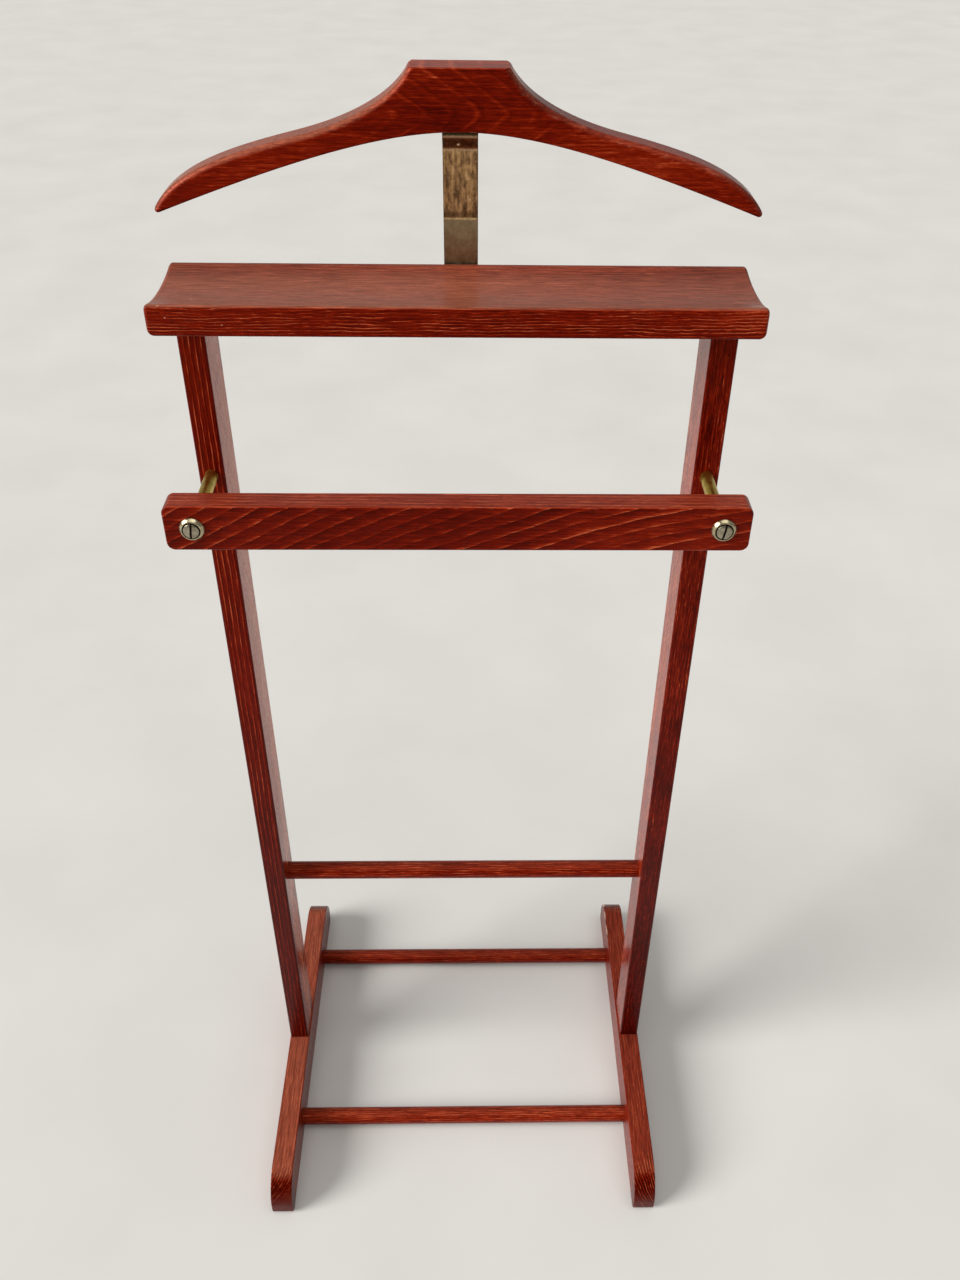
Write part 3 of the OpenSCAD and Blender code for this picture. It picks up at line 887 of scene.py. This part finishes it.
def less_haze(net, x, y, z):
    """Less haze on the flat top and along the right arm."""
    return net.times(net.spread(z, TOP - 2, TOP - 0.3, 1.0, 0.3),
                     net.spread(x, 30, 60, 1.0, 0.3))


def painted_light_flat(net, x, y, z):
    """The hanger's flat top is painted paler than its front, a painted light on the face that looks up."""
    return net.spread(z, TOP - 1.2, TOP - 0.3, 0, 0.20)


def faint_on_arms(net, x, y, z):
    """The growth lines are clear on the block and faint on the arms."""
    return net.spread(net.math("ABSOLUTE", x), 45, 80, 1.0, 0.12)


bm = bmesh.new()
add_plate(bm, outline, lambda i: (radii[i], radii[i]), low.y, high.y, lambda u, v, w: (u, w, v), 8, dirs)
grain = wood("coat_hanger_wood", "X", tongues(middle_x - 35, TOP - 27.5, 19, 1.6, 5), LINE,
             ring=0.26, sway=0.3, fibre=0.44, pores=0.3, dashes=0.16, seed=51, tone=0.42,
             dust_and_sheen=0.24, dust_sheen_facing=(0.10, 0.70), thin=less_haze, lift=painted_light_flat, fade=faint_on_arms,
             patches=[((-12, low.y, TOP - 30), (48, 30, 26), -0.12),
                      ((120, low.y, TOP - 52), (130, 40, 42), 0.20),
                      ((-130, low.y, TOP - 56), (110, 40, 40), 0.10)])
new_piece("coat_hanger_board", bm, grain, "hanger", ["coat_hanger"])

# ---------------------------------------------------------------- strap

low, high = cad("hanger_strap")
STRAP_T, TOE_L, STRAP_EDGE, BEND_R = 2.5, 6, 0.55, 3.4
# Below the strap's top: the ends of the jog's centre line, the front of its lower bend, and the pip
JOG_LOW, JOG_HIGH, JOG_FRONT, PIP_DOWN = 47.4, 38.9, 48, 45.6
PIP_ASIDE, PIP_RISE, PIP_SAG, PIP_R, PIP_REACH, PIP_OUT = 1.3, 0.9, 0.5, 1.15, 3, 2.6
# Steps along the strap and across its section, finer from and to these distances below its top
LONG_STEP, FINE_STEP, SECTION_STEP = 3, 0.45, 0.5
FINE_FROM, FINE_TO = 50, 40
# Height of the straight line between the spotted and the smooth metal
WITNESS_Z = tray_top + 32

strap_x, half_w = (low.x + high.x) / 2, (high.x - low.x) / 2
tongue_y, run_y = low.y + STRAP_T / 2, high.y - TOE_L - STRAP_T / 2
corners = [(high.y, low.z + STRAP_T / 2), (run_y, low.z + STRAP_T / 2), (run_y, high.z - JOG_LOW),
           (tongue_y, high.z - JOG_HIGH), (tongue_y, high.z)]
rough_path = soft_corners(corners, BEND_R, 8)
path = []
for p, q in zip(rough_path, rough_path[1:]):
    near_pip = high.z - FINE_FROM < q[1] < high.z - FINE_TO
    path += steps_between(p, q, FINE_STEP if near_pip else LONG_STEP)
path.append(rough_path[-1])
section = subdivide(tidy(rounded_rect(-half_w, -STRAP_T / 2, half_w, STRAP_T / 2, STRAP_EDGE, STRAP_EDGE, 3)),
                    SECTION_STEP)
pip_x, pip_z = strap_x - PIP_ASIDE, high.z - PIP_DOWN
pip_y = run_y - STRAP_T / 2 - PIP_OUT


def pip(point, place):
    """A small pressed pip stands out of the front of the strap."""
    off = math.hypot(point[0] - pip_x, point[2] - pip_z)
    if place[1] < 0 or off > PIP_REACH:
        return point
    swell = math.exp(-(off / PIP_R) ** 2)
    return (point[0], point[1] - PIP_RISE * swell, point[2] - PIP_SAG * swell)


bm = bmesh.new()
add_sweep(bm, section, path, strap_x, pip)
strap_metal = strap_brass("strap_brass", strap_x, half_w, WITNESS_Z, high.z - JOG_FRONT,
                          (pip_x, pip_y, pip_z))
new_piece("hanger_strap_bar", bm, strap_metal, "hanger", ["hanger_strap"])

# ---------------------------------------------------------------- CAD nodes that stay

peg_wood = wood("peg_wood", "Z", planes(x=0.5, y=0.2), stops=PEG_STOPS, seed=61)
stay = {"foot_pegs": (peg_wood, "raw_beech"), "tray_pegs": (peg_wood, "raw_beech"),
        "strap_screws": (brass, "brass"),
        "strap_sleeve": (old_brass, "aged_brass"), "sleeve_screws": (brass, "brass"),
        "friction_spring": (brass, "brass")}
for node, (material, slot) in stay.items():
    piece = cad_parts[node]
    piece.data.materials.clear()
    piece.data.materials.append(material)

# ---------------------------------------------------------------- stage and light

FLOOR_HALF = 30
FLOOR_STOPS = ((0.3, (0.60, 0.59, 0.57)), (0.7, (0.64, 0.63, 0.61)))

net = Net("floor_paint")
cloudy = net.noise(net.coordinates(), scale=0.004, detail=3)
net.feed(net.shader.inputs["Base Color"], net.ramp(cloudy, FLOOR_STOPS))
net.shader.inputs["Roughness"].default_value = 0.7
bm = bmesh.new()
bmesh.ops.create_grid(bm, x_segments=1, y_segments=1, size=FLOOR_HALF)
floor = mesh_object("floor", bm)
floor.data.materials.append(net.material)

# Soft studio light from all around, a little stronger from behind the stand
WORLD_COLOUR = (1.0, 0.985, 0.955)
WORLD_FRONT, WORLD_BACK, WORLD_SPAN = 0.26, 0.34, 0.8

world = bpy.data.worlds.new("studio")
world.use_nodes = True
tree = world.node_tree
direction = tree.nodes.new("ShaderNodeTexCoord").outputs["Generated"]
split_up = tree.nodes.new("ShaderNodeSeparateXYZ")
tree.links.new(direction, split_up.inputs[0])
shading = tree.nodes.new("ShaderNodeMapRange")
shading.inputs["From Min"].default_value = -WORLD_SPAN
shading.inputs["From Max"].default_value = WORLD_SPAN
shading.inputs["To Min"].default_value = WORLD_FRONT
shading.inputs["To Max"].default_value = WORLD_BACK
tree.links.new(split_up.outputs["Y"], shading.inputs["Value"])
tree.links.new(shading.outputs[0], tree.nodes["Background"].inputs["Strength"])
tree.nodes["Background"].inputs["Color"].default_value = (*WORLD_COLOUR, 1)
bpy.context.scene.world = world


def soft_sun(name, towards, softness, power, colour):
    """Wide parallel light from a direction, like a large window far away."""
    data = bpy.data.lights.new(name, "SUN")
    data.angle = math.radians(softness)
    data.energy = power
    data.color = colour
    lamp = bpy.data.objects.new(name, data)
    lamp.rotation_euler = Vector(towards).to_track_quat("Z", "Y").to_euler()
    bpy.context.scene.collection.objects.link(lamp)


soft_sun("key", (-0.84, -0.34, 0.50), 30, 3.9, (1.0, 0.98, 0.95))
soft_sun("above", (0.1, -0.3, 1.0), 50, 0.95, (1.0, 0.985, 0.96))

# ---------------------------------------------------------------- camera

# Solved from the photograph: lens and sensor in millimetres, angles in degrees, place in metres
FOCAL, SENSOR, SHIFT_X, SHIFT_Y = 32.168, 36, -0.01448, 0.0004
PITCH, YAW, ROLL = 37.162, 1.589, 0.955
CAMERA_PLACE = (0.01004, -0.79207, 1.20951)

pitch, yaw, roll = (math.radians(v) for v in (PITCH, YAW, ROLL))
ahead = Vector((math.sin(yaw) * math.cos(pitch), math.cos(yaw) * math.cos(pitch), -math.sin(pitch)))
level = Vector((math.cos(yaw), -math.sin(yaw), 0))
steep = ahead.cross(level)
across = level * math.cos(roll) - steep * math.sin(roll)
down = level * math.sin(roll) + steep * math.cos(roll)
camera_data = bpy.data.cameras.new("camera")
camera_data.lens = FOCAL
camera_data.sensor_width = SENSOR
camera_data.shift_x = SHIFT_X
camera_data.shift_y = SHIFT_Y
camera = bpy.data.objects.new("camera", camera_data)
aim = Matrix((across, -down, -ahead)).transposed()
camera.matrix_world = Matrix.Translation(CAMERA_PLACE) @ aim.to_4x4()
bpy.context.scene.collection.objects.link(camera)
bpy.context.scene.camera = camera
bpy.context.scene.view_settings.view_transform = "Standard"
